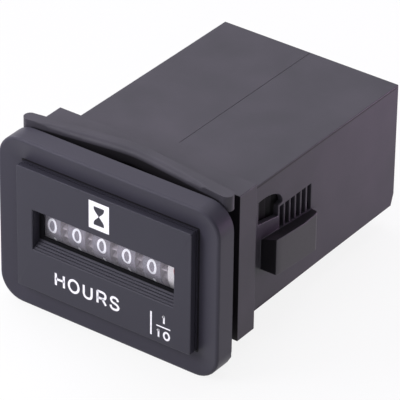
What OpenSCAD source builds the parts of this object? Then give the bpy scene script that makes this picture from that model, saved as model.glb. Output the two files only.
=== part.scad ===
// Panel hour meter with a six-wheel counter and a slide-on clamp sleeve.
// X runs to the right seen from the front, Y runs back through the panel, Z is up.
// Y = 0 is the back of the bezel, where the panel sits. All sizes are in millimetres.

/* [Bezel and face] */
// Bezel width
bezel_w = 45.2; // [42:0.1:50]
// Bezel height
bezel_h = 32.2; // [29:0.1:36]
// Bezel thickness from the panel to its front rim
bezel_t = 4.0; // [3.6:0.1:5]
// Corner radius of the bezel
bezel_r = 4.6; // [3:0.1:6]
// Radius of the soft edge round the front of the bezel
bezel_edge = 0.5; // [0.3:0.1:1.6]
// Depth of the front's slope from the outer edge to the face cover
dish_d = 0.8; // [0.4:0.1:1.1]
// Width of the raised face cover
cover_w = 35.8; // [35:0.1:37]
// Height of the raised face cover
cover_h = 23.4; // [22.6:0.1:24.4]
// How far the face cover stands in front of the bezel rim
cover_out = 1.15; // [0.8:0.05:2]
// Width of the reading window
window_w = 29.3; // [27:0.1:30]
// Height of the reading window at the front
window_h = 7.7; // [7:0.1:8.4]

/* [Clamp sleeve] */
// Outside width of the sleeve
sleeve_w = 36.6; // [36.4:0.1:38]
// Outside height of the sleeve
sleeve_h = 23.9; // [23.7:0.1:25]
// Rear end of the sleeve behind the panel
sleeve_back = 54.3; // [54:0.1:60]
// Wall of the sleeve
sleeve_wall = 1.0; // [0.8:0.05:1.1]
// How far the collar stands out from the sleeve
collar_out = 1.95; // [1.5:0.05:2.4]
// Depth of the collar
collar_d = 4.8; // [4:0.1:6]
// Length of each bowed spring from end to end
spring_w = 42.4; // [40:0.1:44]
// Bow of the springs from end to middle
spring_bow = 2.6; // [1:0.1:3]
// Gap between the spring feet and the bezel
foot_gap = 0.4; // [0.3:0.05:1]
// How far the collar sits above the middle of the sleeve
collar_lift = 0.5; // [0:0.05:0.8]
// How far the springs sit above the middle of the sleeve
spring_lift = 1.25; // [0:0.05:1.4]
// Reach of the finger tab at its front
tab_out = 3.2; // [2.4:0.1:3.6]
// Number of slits in each side
slit_count = 6; // [4:1:6]
// Pitch of the slits
slit_pitch = 1.6; // [1.4:0.05:1.6]

/* [Counter] */
// Radius of the number wheels
wheel_r = 6.0; // [5.9:0.05:6.05]
// Pitch of the number wheels
wheel_pitch = 5.15; // [5.1:0.01:5.16]
// Radius of the shaft that carries the wheels
wheel_shaft_r = 1.0; // [0.8:0.05:1.4]
// Running clearance of turning pieces
run_fit = 0.04; // [0.02:0.01:0.06]

/* [Terminals] */
// Width of a terminal blade
blade_w = 6.3; // [4.8:0.1:6.3]
// Thickness of a terminal blade
blade_t = 0.8; // [0.5:0.1:0.8]
// Length of a blade behind the rear cover
blade_l = 8.5; // [7:0.1:10]
// Distance between the two blades
blade_pitch = 14; // [12:0.1:18]

/* [Hidden] */
$fn = 48;
eps = 0.02;
slide_fit = 0.2;
// case tube that carries the works
case_w = sleeve_w - 2 * sleeve_wall - 2 * slide_fit;
case_h = sleeve_h - 2 * sleeve_wall - 2 * slide_fit;
case_side = 1.0;
in_w = case_w - 2 * case_side;
in_h = case_h - 2 * case_side;
case_back = 52;
cap_t = 1.0;
// face
dish_y = -(bezel_t - dish_d);
dish_gap = 0.3;
rim_w = 0.6;
face_y = -(bezel_t + cover_out);
groove_d = 0.35;
mask_y = -3.2;
mask_t = 0.3;
mask_side = 0.9;
mask_lip = 1.3;
lens_y = mask_y + mask_t;
lens_t = 0.5;
lens_lap = 1.0;
spigot_y = -1.9;
window_z = 0.2;
window_z0 = window_z - window_h / 2;
window_z1 = window_z + window_h / 2;
sill_steps = 4;
sill_rise = 0.3;
sill_run = 0.45;
ledge_t = 0.45;
waist_t = 0.3;
spigot_gap = 0.1;
// ratchet teeth on the tube
tooth_y0 = 7;
tooth_y1 = 46;
tooth_pitch = 1.6;
tooth_d = 0.45;
tooth_z0 = -2.5;
tooth_h = 11;
// sleeve
collar_front = 4.9;
spring_h = 2.8;
spring_lap = 0.95;
spring_z0 = sleeve_h / 2 + collar_out - spring_lap;
spring_t = 2.3;
spring_bend = 0.12;
side_x = sleeve_w / 2;
// finger tab, slits and arched opening on each side of the sleeve
tab_y = 13.8;
tab_l = 15;
tab_flat = 1.5;
tab_round = 1.2;
tab_z0 = -4.5;
tab_z1 = 2.45;
tab_fall = 0.174;
tab_low_fall = 0.21;
tab_dip = 1.14;
slit_y = 19.8;
slit_w = 1.1;
slit_z1 = 5.0;
arch_y0 = 13;
arch_y = 14.3;
arch_z = 5.7;
arch_l = 5.63;
arch_h = 3.12;
arch_turn = 103.4;
arch_low = 1.2;
arch_low_fall = 0.19;
fin_y = 18.72;
fin_drop = 0.25;
top_draft = 0.35;
collar_rise = 0.4;
groove_w = 0.16;
groove_cut = 0.06;
groove_y = 16;
groove_y1 = sleeve_back - 2 * groove_w;
heel_y = 0.75;
heel_z = 2.2;
// counter
wheel_y = 4.0;
wheel_x0 = -2.5 * wheel_pitch;
ring_z = 20;
ring_m = 0.5;
pin_z = 8;
pin_dist = ring_m * (ring_z + pin_z) / 2;
pin_tip = ring_m * (pin_z / 2 + 0.85);
pin_floor_gap = 0.26;
pin_share = 0.93;
pin_shaft_r = 0.5;
pin_w = 0.8;
rim_left = 1.9;
rim_right = 1.7;
ring_w = 1.0;
plate_x0 = in_w / 2 - 0.7;
plate_x1 = in_w / 2 - 0.1;
floor_z = -in_h / 2;
floor_t = 1.0;
floor_top = floor_z + floor_t;
pin_zpos = pin_share * (floor_top + pin_floor_gap + pin_tip);
pin_angle = asin(pin_zpos / pin_dist);
pin_y = wheel_y + pin_dist * cos(pin_angle);
cheek_y0 = -1.5;
cheek_y1 = 26;
roof_gap = 0.3;
rim_wall = 0.9;
web_t = 1.2;
// gear train behind the counter
gear_m = 0.25;
drive_z = 48;
idler_z = 16;
arbor_pin_z = 12;
idler_y = wheel_y + gear_m * (drive_z + idler_z) / 2;
arbor_y = idler_y + gear_m * (idler_z + arbor_pin_z) / 2;
fast_m = 0.2;
fast_wheel_z = 50;
fast_pin_z = 10;
rotor_y = arbor_y + fast_m * (fast_wheel_z + fast_pin_z) / 2;
gear_x0 = plate_x0 - 0.75;
gear_w = 0.5;
drive_step = 0.3;
drive_lap = 0.05;
arbor_r = 0.5;
mplate_x0 = 1.0;
mplate_t = 1.0;
fast_x = 9.5;
fast_w = 1.0;
stator_x = 5.2;
stator_t = 1.0;
stator_y0 = 4;
stator_l = 9;
magnet_r = 2.4;
magnet_l = 3;
magnet_gap = 0.35;
leg_w = 3.5;
leg_gap = 0.35;
leg_z1 = in_h / 2 - floor_t - leg_gap;
leg_z0 = leg_z1 - leg_w;
core_y = 31.5;
core_d = 3;
post_back = 3.5;
post_y = core_y - post_back;
post_r = 1;
mplate_y0 = idler_y;
mplate_lap = 2.5;
mplate_y1 = core_y + mplate_lap;
plate_gap = 0.6;
// coil between the two legs of the stator
coil_x = stator_x + 1.5 * stator_t;
coil_z = leg_z0 - 0.1;
flange_t = 0.8;
flange_w = 6;
flange_d = 8;
former_w = 2.4;
former_d = 4.4;
wire_w = 5.2;
wire_d = 7.2;
// board
board_y = 45;
board_t = 1.2;
board_w = 30;
board_lap = 1;
chip_w = 5;
chip_h = 4;
chip_t = 1.5;
can_r = 1;
can_l = 6;
cap_r = 2.5;
cap_l = 7;
blade_lap = 0.6;
// rear cover
plug_l = 2;
plug_gap = 0.05;
through = 1;

// gear outline of n teeth of module m with a tooth centred on the local x axis
module gear2d(n, m) {
    r = n * m / 2;
    tip = r + 0.85 * m;
    foot = r - 1.15 * m;
    a = 180 / n;
    polygon([for (i = [0 : n - 1]) for (k = [[-0.62, foot], [-0.40, r], [-0.17, tip], [0.17, tip], [0.40, r],
        [0.62, foot]]) [k[1] * cos(2 * a * i + a * k[0]), k[1] * sin(2 * a * i + a * k[0])]]);
}

// stands a flat shape in the Y-Z plane and gives it a thickness along X from x0
module along_x(x0, t) {
    translate([x0, 0, 0]) rotate([90, 0, 90]) linear_extrude(height = t) children();
}

// round bar along X
module bar_x(x0, x1, r, y, z) {
    translate([x0, y, z]) rotate([0, 90, 0]) cylinder(r = r, h = x1 - x0);
}

// box given by its two opposite corners
module box(a, b) {
    translate(a) cube(b - a);
}

// rounded rectangle in the X-Z plane with a depth along Y from y0 to y1
module plate_y(w, h, r, y0, y1) {
    translate([0, y1, 0]) rotate([90, 0, 0]) linear_extrude(height = y1 - y0) offset(r = r)
        square([w - 2 * r, h - 2 * r], center = true);
}

// corner post of the bezel with its soft front edge
module bezel_post() {
    rotate([90, 0, 0]) rotate_extrude($fn = 40) polygon(concat([[0, 0], [bezel_r, 0]],
        [for (a = [0 : 18 : 90]) [bezel_r - bezel_edge + bezel_edge * cos(a),
            bezel_t - bezel_edge + bezel_edge * sin(a)]], [[0, bezel_t]]));
}

module bezel_case() {
    color([0.26, 0.26, 0.28]) difference() {
        union() {
            hull() for (sx = [-1, 1], sz = [-1, 1])
                translate([sx * (bezel_w / 2 - bezel_r), 0, sz * (bezel_h / 2 - bezel_r)]) bezel_post();
            box([-case_w / 2, -eps, -case_h / 2], [case_w / 2, case_back, case_h / 2]);
        }
        // dished area: slopes from the rim down to the seat of the face cover
        hull() {
            box([-cover_w / 2 - dish_gap, dish_y - eps, -cover_h / 2 - dish_gap], [cover_w / 2 + dish_gap,
                dish_y, cover_h / 2 + dish_gap]);
            plate_y(bezel_w - 2 * rim_w, bezel_h - 2 * rim_w, bezel_r - rim_w, -bezel_t - 2 * eps,
                -bezel_t - eps);
        }
        // bore for the works
        box([-in_w / 2, -bezel_t - through, -in_h / 2], [in_w / 2, case_back + through, in_h / 2]);
        // ratchet teeth on both sides of the tube
        for (s = [-1, 1], y = [tooth_y0 : tooth_pitch : tooth_y1]) translate([s * case_w / 2, y, tooth_z0])
            linear_extrude(height = tooth_h) polygon([[-s * tooth_d, 0], [s * eps, 0],
                [s * eps, tooth_pitch * 0.85], [0, tooth_pitch * 0.8]]);
    }
}

module face_cover() {
    color([0.14, 0.14, 0.15]) difference() {
        union() {
            box([-cover_w / 2, face_y, -cover_h / 2], [cover_w / 2, dish_y - ledge_t - waist_t,
                cover_h / 2]);
            box([-cover_w / 2 + groove_d, dish_y - ledge_t - waist_t - eps, -cover_h / 2 + groove_d],
                [cover_w / 2 - groove_d, dish_y - ledge_t + eps, cover_h / 2 - groove_d]);
            box([-cover_w / 2, dish_y - ledge_t, -cover_h / 2], [cover_w / 2, dish_y, cover_h / 2]);
            box([-in_w / 2 + spigot_gap, dish_y - eps, -in_h / 2 + spigot_gap], [in_w / 2 - spigot_gap,
                spigot_y, in_h / 2 - spigot_gap]);
        }
        // reading window with a stepped lower sill, down to the mask
        for (k = [0 : sill_steps]) box([-window_w / 2, face_y - through, window_z0 + sill_rise * k],
            [window_w / 2, k == sill_steps ? mask_y : face_y + sill_run * (k + 1), window_z1]);
        // opening of the mask
        box([-window_w / 2 + mask_side, mask_y - eps, window_z0 + sill_rise * sill_steps + mask_lip],
            [window_w / 2 - mask_side, through, window_z1 - sill_rise]);
        // pocket for the lens and room for the wheels behind it
        box([-window_w / 2 - lens_lap, lens_y, window_z0 - lens_lap], [window_w / 2 + lens_lap, through,
            window_z1 + lens_lap]);
    }
}

module window_lens() {
    color([0.85, 0.9, 0.92, 0.3]) box([-window_w / 2 - lens_lap, lens_y, window_z0 - lens_lap],
        [window_w / 2 + lens_lap, lens_y + lens_t, window_z1 + lens_lap]);
}

module rear_cover() {
    color([0.2, 0.2, 0.21]) difference() {
        union() {
            box([-case_w / 2, case_back, -case_h / 2], [case_w / 2, case_back + cap_t, case_h / 2]);
            box([-in_w / 2 + plug_gap, case_back - plug_l, -in_h / 2 + plug_gap], [in_w / 2 - plug_gap,
                case_back + eps, in_h / 2 - plug_gap]);
        }
        for (s = [-1, 1]) box([s * blade_pitch / 2 - blade_t / 2, case_back - plug_l - through, -blade_w / 2],
            [s * blade_pitch / 2 + blade_t / 2, case_back + cap_t + through, blade_w / 2]);
    }
}

// bowed spring in plan
module spring_plan() {
    n = 24;
    e = spring_w / 2 - spring_t / 2;
    function arm(u) = sqrt(u * u + spring_bend * spring_bend);
    function bow(u) = foot_gap + spring_bow * (arm(1) - arm(u)) / (arm(1) - arm(0));
    polygon(concat([for (i = [-n : n]) [e * i / n, bow(i / n)]],
        [for (i = [n : -1 : -n]) [e * i / n, bow(i / n) + spring_t]]));
    for (s = [-1, 1]) translate([s * e, foot_gap + spring_t / 2]) circle(r = spring_t / 2, $fn = 32);
}

// bowed spring whose middle runs into the collar; its underside is at local z = 0
module spring() {
    linear_extrude(height = spring_h) spring_plan();
}

// arched opening in the side of the sleeve, drawn with y across and z up; the first fin bounds it behind
module side_opening() {
    n = 16;
    low_z = arch_z - arch_low;
    polygon(concat([[arch_y0, low_z], [fin_y, low_z - arch_low_fall * (fin_y - arch_y0)],
        [fin_y, arch_z - fin_drop]], [for (i = [0 : n]) let (a = arch_turn * i / n)
            [arch_y + arch_l * cos(a), arch_z + arch_h * sin(a)]]));
}

// height of the upper edge of the finger tab at its outer face, and where it meets the side of the sleeve
function tab_top(y) = tab_z1 - tab_fall * (y - tab_y);
function tab_foot(y) = tab_top(y) - tab_dip * (1 - (y - tab_y) / tab_l);

// finger tab: a wedge that drops towards the rear, with a round rear end; its top dips towards the sleeve
module finger_tab() {
    root_x = -sleeve_wall / 2;
    heel_x = tab_out / 2;
    tab_y1 = tab_y + tab_l;
    difference() {
        intersection() {
            translate([0, tab_y, -sleeve_h / 2]) linear_extrude(height = sleeve_h)
                polygon(concat([[root_x, 0], [tab_out, 0], [tab_out, tab_flat]], [for (a = [0 : 18 : 90])
                    [heel_x - tab_round * (1 - cos(a)), tab_l - tab_round * (1 - sin(a))]],
                    [[root_x, tab_l]]));
            along_x(-sleeve_wall, sleeve_wall + tab_out + through) polygon([[tab_y - eps, tab_z0],
                [tab_y1 + eps, tab_z0 - tab_low_fall * tab_l], [tab_y1 + eps, tab_top(tab_y1)],
                [tab_y - eps, tab_top(tab_y)]]);
        }
        hull() for (y = [tab_y - eps, tab_y1 + eps]) translate([0, y, 0]) rotate([90, 0, 0])
            linear_extrude(height = eps) polygon([[0, tab_foot(y)], [tab_out, tab_top(y)],
                [tab_out, tab_z1 + through], [0, tab_z1 + through]]);
    }
}

// height of the top of the sleeve, which rises a little towards the collar
function sleeve_top(y) = sleeve_h / 2 + top_draft * (sleeve_back - y) / (sleeve_back - collar_front);

module clamp_sleeve() {
    w = sleeve_w - 2 * sleeve_wall;
    h = sleeve_h - 2 * sleeve_wall;
    color([0.29, 0.28, 0.31]) difference() {
        union() {
            along_x(-side_x, sleeve_w) polygon([[collar_front, -sleeve_h / 2], [sleeve_back, -sleeve_h / 2],
                [sleeve_back, sleeve_h / 2], [collar_front, sleeve_top(collar_front)]]);
            translate([0, collar_front, collar_lift])
                box([-side_x - collar_out, 0, -sleeve_h / 2 - collar_out],
                    [side_x + collar_out, collar_d, sleeve_h / 2 + collar_out + collar_rise]);
            translate([0, 0, spring_lift]) for (s = [0, 1]) mirror([0, 0, s]) translate([0, 0, spring_z0])
                spring();
            for (s = [0, 1]) mirror([s, 0, 0]) translate([side_x, 0, 0]) finger_tab();
        }
        box([-w / 2, -through, -h / 2], [w / 2, sleeve_back + through, h / 2]);
        for (s = [0, 1]) mirror([s, 0, 0]) {
            along_x(side_x - sleeve_wall - through, sleeve_wall + 1.2 * through) side_opening();
            for (i = [0 : slit_count - 1]) let (y = slit_y + slit_pitch * i)
                box([side_x - sleeve_wall - through, y - slit_w / 2, tab_foot(y)],
                    [side_x + eps, y + slit_w / 2, slit_z1]);
        }
        // parting line along the top and a chamfer under the rear end
        along_x(-groove_w / 2, groove_w) polygon([[groove_y, sleeve_top(groove_y) - groove_cut],
            [groove_y1, sleeve_top(groove_y1) - groove_cut], [groove_y1, sleeve_h], [groove_y, sleeve_h]]);
        along_x(-sleeve_w, 2 * sleeve_w) polygon([[sleeve_back - heel_y, -sleeve_h / 2 - eps],
            [sleeve_back + through, -sleeve_h / 2 - eps], [sleeve_back + eps, -sleeve_h / 2 + heel_z]]);
    }
}

// number wheel k counted from the left; the last one carries the drive ring
module number_wheel(k) {
    x = wheel_x0 + (k - 1) * wheel_pitch;
    last = k == 6;
    x1 = last ? gear_x0 - drive_step : x + rim_right;
    difference() {
        union() {
            bar_x(x - rim_left, x1, wheel_r, wheel_y, 0);
            if (last) along_x(x1 - eps, drive_step + gear_w + drive_lap + eps) translate([wheel_y, 0])
                gear2d(drive_z, gear_m);
            else along_x(x1 - eps, ring_w + eps) translate([wheel_y, 0]) rotate(pin_angle)
                gear2d(ring_z, ring_m);
        }
        bar_x(x - wheel_pitch, x + wheel_pitch, wheel_shaft_r + run_fit, wheel_y, 0);
        // hollow left side of the rim
        difference() {
            bar_x(x - rim_left - through, x1 - web_t, wheel_r - rim_wall, wheel_y, 0);
            bar_x(x - rim_left - 2 * through, x1, wheel_shaft_r + rim_wall, wheel_y, 0);
        }
    }
}

module wheel_1() { color([0.1, 0.1, 0.1]) number_wheel(1); }
module wheel_2() { color([0.1, 0.1, 0.1]) number_wheel(2); }
module wheel_3() { color([0.1, 0.1, 0.1]) number_wheel(3); }
module wheel_4() { color([0.1, 0.1, 0.1]) number_wheel(4); }
module wheel_5() { color([0.1, 0.1, 0.1]) number_wheel(5); }
module wheel_6() { color([0.9, 0.9, 0.88]) number_wheel(6); }

module wheel_shaft() {
    color([0.7, 0.7, 0.72]) bar_x(-plate_x1, plate_x1, wheel_shaft_r, wheel_y, 0);
}

// carry pinion beside the toothed ring of wheel k
module carry_pinion(k) {
    x = wheel_x0 + (k - 1) * wheel_pitch + rim_right;
    color([0.85, 0.83, 0.75]) difference() {
        along_x(x + (ring_w - pin_w) / 2, pin_w) translate([pin_y, pin_zpos])
            rotate(pin_angle + 180 + 180 / pin_z) gear2d(pin_z, ring_m);
        bar_x(x - through, x + ring_w + through, pin_shaft_r + run_fit, pin_y, pin_zpos);
    }
}

module pinion_1() { carry_pinion(1); }
module pinion_2() { carry_pinion(2); }
module pinion_3() { carry_pinion(3); }
module pinion_4() { carry_pinion(4); }
module pinion_5() { carry_pinion(5); }

module pinion_shaft() {
    color([0.7, 0.7, 0.72]) bar_x(-plate_x1, plate_x1, pin_shaft_r, pin_y, pin_zpos);
}

module counter_frame() {
    color([0.55, 0.55, 0.52]) difference() {
        union() {
            for (s = [0, 1]) mirror([s, 0, 0]) box([plate_x0, cheek_y0, floor_z], [plate_x1, cheek_y1,
                in_h / 2 - roof_gap]);
            box([-plate_x1, 0, floor_z], [plate_x1, board_y + board_t + board_lap, floor_top]);
        }
        bar_x(-in_w, in_w, wheel_shaft_r, wheel_y, 0);
        bar_x(-in_w, in_w, pin_shaft_r, pin_y, pin_zpos);
        bar_x(0, in_w, arbor_r, idler_y, 0);
        bar_x(0, in_w, arbor_r + run_fit, arbor_y, 0);
        bar_x(0, in_w, arbor_r + run_fit, rotor_y, 0);
    }
}

module idler_stud() {
    color([0.7, 0.7, 0.72]) bar_x(gear_x0 - 0.2, plate_x1, arbor_r, idler_y, 0);
}

module idler_gear() {
    color([0.8, 0.7, 0.4]) difference() {
        along_x(gear_x0, gear_w) translate([idler_y, 0]) rotate(180 + 180 / idler_z) gear2d(idler_z, gear_m);
        bar_x(0, in_w, arbor_r + run_fit, idler_y, 0);
    }
}

module drive_arbor() {
    color([0.8, 0.7, 0.4]) {
        bar_x(mplate_x0, plate_x1, arbor_r, arbor_y, 0);
        along_x(gear_x0, gear_w) translate([arbor_y, 0]) rotate(180) gear2d(arbor_pin_z, gear_m);
        along_x(fast_x, fast_w) translate([arbor_y, 0]) gear2d(fast_wheel_z, fast_m);
    }
}

module rotor_arbor() {
    color([0.75, 0.75, 0.78]) {
        bar_x(mplate_x0, plate_x1, arbor_r, rotor_y, 0);
        along_x(fast_x - 0.2, fast_w + 0.4) translate([rotor_y, 0]) rotate(180 + 180 / fast_pin_z)
            gear2d(fast_pin_z, fast_m);
    }
}

module rotor_magnet() {
    color([0.3, 0.3, 0.33]) difference() {
        translate([stator_x + stator_t / 2, 0, 0]) bar_x(-magnet_l / 2, magnet_l / 2, magnet_r, rotor_y, 0);
        bar_x(0, in_w, arbor_r, rotor_y, 0);
    }
}

module movement_plate() {
    color([0.55, 0.55, 0.52]) difference() {
        union() {
            box([mplate_x0, mplate_y0, floor_top], [mplate_x0 + mplate_t, mplate_y1, in_h / 2 - plate_gap]);
            for (s = [-1, 1]) bar_x(mplate_x0 + eps, stator_x, post_r, post_y, s * (leg_z0 + leg_z1) / 2);
        }
        for (y = [arbor_y, rotor_y]) bar_x(0, stator_x, arbor_r + run_fit, y, 0);
    }
}

module stator() {
    color([0.6, 0.6, 0.62]) along_x(stator_x, stator_t) difference() {
        union() {
            translate([rotor_y - stator_y0, -leg_z0 - eps]) square([stator_l, 2 * leg_z0 + 2 * eps]);
            for (z = [leg_z0, -leg_z1]) translate([rotor_y, z])
                square([core_y + core_d / 2 - rotor_y, leg_w]);
        }
        translate([rotor_y, 0]) circle(r = magnet_r + magnet_gap);
    }
}

module coil_core() {
    color([0.6, 0.6, 0.62]) box([stator_x + stator_t, core_y - core_d / 2, -leg_z1], [stator_x + 2 * stator_t,
        core_y + core_d / 2, leg_z1]);
}

// square former with a flange at each end
module bobbin() {
    color([0.2, 0.25, 0.3]) translate([coil_x, core_y, 0]) difference() {
        union() {
            cube([former_w, former_d, 2 * coil_z], center = true);
            for (s = [-1, 1]) translate([0, 0, s * (coil_z - flange_t / 2)])
                cube([flange_w, flange_d, flange_t], center = true);
        }
        cube([stator_t, core_d, 2 * leg_z1], center = true);
    }
}

module winding() {
    color([0.72, 0.42, 0.2]) translate([coil_x, core_y, 0]) difference() {
        cube([wire_w, wire_d, 2 * (coil_z - flange_t)], center = true);
        cube([former_w, former_d, 2 * coil_z], center = true);
    }
}

module circuit_board() {
    color([0.1, 0.35, 0.2]) difference() {
        box([-board_w / 2, board_y, floor_top], [board_w / 2, board_y + board_t, in_h / 2 - plate_gap]);
        for (s = [-1, 1]) box([s * blade_pitch / 2 - blade_t / 2, board_y - through, -blade_w / 2],
            [s * blade_pitch / 2 + blade_t / 2, board_y + board_t + through, blade_w / 2]);
    }
}

module chip() {
    color([0.08, 0.08, 0.08]) translate([0, board_y - chip_t / 2, 0])
        cube([chip_w, chip_t, chip_h], center = true);
}

module crystal() {
    color([0.75, 0.75, 0.78]) translate([chip_w / 2, board_y, floor_top / 2 - can_r]) rotate([90, 0, 0])
        cylinder(r = can_r, h = can_l);
}

module capacitor() {
    color([0.15, 0.2, 0.4]) translate([cap_r - board_w / 2 + blade_lap, board_y, 0]) rotate([90, 0, 0])
        cylinder(r = cap_r, h = cap_l);
}

module blade(s) {
    color([0.78, 0.74, 0.6]) box([s * blade_pitch / 2 - blade_t / 2, board_y - blade_lap, -blade_w / 2],
        [s * blade_pitch / 2 + blade_t / 2, case_back + cap_t + blade_l, blade_w / 2]);
}

module terminal_left() { blade(-1); }
module terminal_right() { blade(1); }

bezel_case();
face_cover();
window_lens();
rear_cover();
clamp_sleeve();
wheel_1();
wheel_2();
wheel_3();
wheel_4();
wheel_5();
wheel_6();
wheel_shaft();
pinion_1();
pinion_2();
pinion_3();
pinion_4();
pinion_5();
pinion_shaft();
counter_frame();
idler_stud();
idler_gear();
drive_arbor();
rotor_arbor();
rotor_magnet();
movement_plate();
stator();
coil_core();
bobbin();
winding();
circuit_board();
chip();
crystal();
capacitor();
terminal_left();
terminal_right();
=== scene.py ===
# %% [markdown]
# # A panel hour meter, dressed in Blender
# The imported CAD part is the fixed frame. This lesson gives each surface its finish, builds the soft
# moulded bezel as a surface of two parameters, and prints the figures on the number wheels and the face.

import math

import bpy
import numpy as np
from mathutils import Matrix, Vector


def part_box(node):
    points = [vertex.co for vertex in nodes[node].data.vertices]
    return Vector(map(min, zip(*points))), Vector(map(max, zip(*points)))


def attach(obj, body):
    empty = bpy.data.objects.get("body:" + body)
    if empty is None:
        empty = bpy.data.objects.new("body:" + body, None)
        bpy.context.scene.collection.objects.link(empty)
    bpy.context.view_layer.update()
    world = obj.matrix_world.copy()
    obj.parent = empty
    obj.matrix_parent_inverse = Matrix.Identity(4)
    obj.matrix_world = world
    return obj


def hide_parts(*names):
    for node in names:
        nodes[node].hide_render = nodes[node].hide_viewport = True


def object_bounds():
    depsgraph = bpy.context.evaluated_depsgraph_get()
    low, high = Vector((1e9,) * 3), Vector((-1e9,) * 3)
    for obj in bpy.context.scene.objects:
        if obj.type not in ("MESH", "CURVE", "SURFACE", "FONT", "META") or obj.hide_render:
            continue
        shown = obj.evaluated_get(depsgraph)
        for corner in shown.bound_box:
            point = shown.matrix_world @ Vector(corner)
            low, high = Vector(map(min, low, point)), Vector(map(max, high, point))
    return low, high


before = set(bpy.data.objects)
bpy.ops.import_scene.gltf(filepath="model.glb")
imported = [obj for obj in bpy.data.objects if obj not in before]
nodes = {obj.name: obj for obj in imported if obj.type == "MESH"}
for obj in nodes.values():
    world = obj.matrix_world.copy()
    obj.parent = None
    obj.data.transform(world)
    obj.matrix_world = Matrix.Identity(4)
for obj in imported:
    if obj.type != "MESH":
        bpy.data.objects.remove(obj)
cad_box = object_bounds()
MM = 0.001
scene = bpy.context.scene
print("nodes", len(nodes), "box in mm", [[round(v / MM, 2) for v in corner] for corner in cad_box])

# %% [markdown]
# ## Camera
# The photograph was taken with a long lens from the front right and above. The camera could be turned by
# eye, but here it is set by angles and a distance that were fitted to the straight edges of the object.

# %% Camera
CAM_AZIMUTH = 35.63
CAM_ELEVATION = 32.04
CAM_ROLL = 0.80
CAM_DISTANCE = 0.62861
CAM_TARGET = Vector((1.47, 20.0, -0.45)) * MM
CAM_FOCUS_PX = 3733.65
IMAGE_PX = 400
SENSOR_MM = 36.0
CAM_NEAR = 0.01


def camera_axes(azimuth, elevation, roll):
    """Right, up and back of a camera: back points from target to camera, and roll turns right and up."""
    a, e, r = (math.radians(v) for v in (azimuth, elevation, roll))
    back = Vector((math.sin(a) * math.cos(e), -math.cos(a) * math.cos(e), math.sin(e)))
    right = Vector((math.cos(a), math.sin(a), 0.0))
    up = back.cross(right)
    return right * math.cos(r) + up * math.sin(r), up * math.cos(r) - right * math.sin(r), back


right, up, back = camera_axes(CAM_AZIMUTH, CAM_ELEVATION, CAM_ROLL)
camera_data = bpy.data.cameras.new("photo_camera")
camera_data.sensor_width = SENSOR_MM
camera_data.lens = CAM_FOCUS_PX * SENSOR_MM / IMAGE_PX
camera_data.clip_start = CAM_NEAR
camera = bpy.data.objects.new("photo_camera", camera_data)
scene.collection.objects.link(camera)
turn = Matrix((right, up, back)).transposed().to_4x4()
camera.matrix_world = Matrix.Translation(CAM_TARGET + back * CAM_DISTANCE) @ turn
scene.camera = camera
scene.view_settings.view_transform = "Standard"
print("lens in mm", round(camera_data.lens, 1))

# %% [markdown]
# ## Moulded plastic
# Most of the meter is black plastic with a fine spark-eroded grain. One node group gives the grain to every
# plastic: a noise that shifts the colour a little, moves the roughness, and drives a very low bump.

# %% Grain group
NOISE_MEAN = 0.5
SLOW_DETAIL = 3.0
FINE_DETAIL = 2.0
GRAIN_HEIGHT = 0.02


def add_socket(group, name, kind, way, value=None):
    """One named socket on a node group, with its start value."""
    socket = group.interface.new_socket(name=name, in_out=way, socket_type=kind)
    if value is not None:
        socket.default_value = value
    return socket


def build_grain_group():
    """Colour = base mixed with a lighter tone by slow noise.

    Roughness = base plus fine noise about its mean, and height = fine noise.
    """
    group = bpy.data.node_groups.new("moulded_grain", "ShaderNodeTree")
    add_socket(group, "Base", "NodeSocketColor", "INPUT", (0.05, 0.05, 0.05, 1))
    add_socket(group, "Light", "NodeSocketColor", "INPUT", (0.07, 0.07, 0.07, 1))
    add_socket(group, "Roughness", "NodeSocketFloat", "INPUT", 0.5)
    add_socket(group, "Spread", "NodeSocketFloat", "INPUT", 0.1)
    add_socket(group, "Grain Scale", "NodeSocketFloat", "INPUT", 4000.0)
    add_socket(group, "Tone Scale", "NodeSocketFloat", "INPUT", 90.0)
    add_socket(group, "Color", "NodeSocketColor", "OUTPUT")
    add_socket(group, "Roughness", "NodeSocketFloat", "OUTPUT")
    add_socket(group, "Height", "NodeSocketFloat", "OUTPUT")
    tree, link = group.nodes, group.links.new
    ins, outs = tree.new("NodeGroupInput"), tree.new("NodeGroupOutput")
    where = tree.new("ShaderNodeTexCoord")
    slow = tree.new("ShaderNodeTexNoise")
    slow.inputs["Detail"].default_value = SLOW_DETAIL
    fine = tree.new("ShaderNodeTexNoise")
    fine.inputs["Detail"].default_value = FINE_DETAIL
    tone = tree.new("ShaderNodeMix")
    tone.data_type = "RGBA"
    rough = tree.new("ShaderNodeMath")
    rough.operation = "MULTIPLY_ADD"
    shift = tree.new("ShaderNodeMath")
    shift.operation = "SUBTRACT"
    shift.inputs[1].default_value = NOISE_MEAN
    link(where.outputs["Object"], slow.inputs["Vector"])
    link(where.outputs["Object"], fine.inputs["Vector"])
    link(ins.outputs["Grain Scale"], fine.inputs["Scale"])
    link(ins.outputs["Tone Scale"], slow.inputs["Scale"])
    link(slow.outputs["Fac"], tone.inputs["Factor"])
    link(ins.outputs["Base"], tone.inputs["A"])
    link(ins.outputs["Light"], tone.inputs["B"])
    link(fine.outputs["Fac"], shift.inputs[0])
    link(shift.outputs[0], rough.inputs[0])
    link(ins.outputs["Spread"], rough.inputs[1])
    link(ins.outputs["Roughness"], rough.inputs[2])
    link(tone.outputs["Result"], outs.inputs["Color"])
    link(rough.outputs[0], outs.inputs["Roughness"])
    link(fine.outputs["Fac"], outs.inputs["Height"])
    return group


GRAIN = build_grain_group()
print("group", GRAIN.name, "sockets", len(GRAIN.interface.items_tree))

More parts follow.
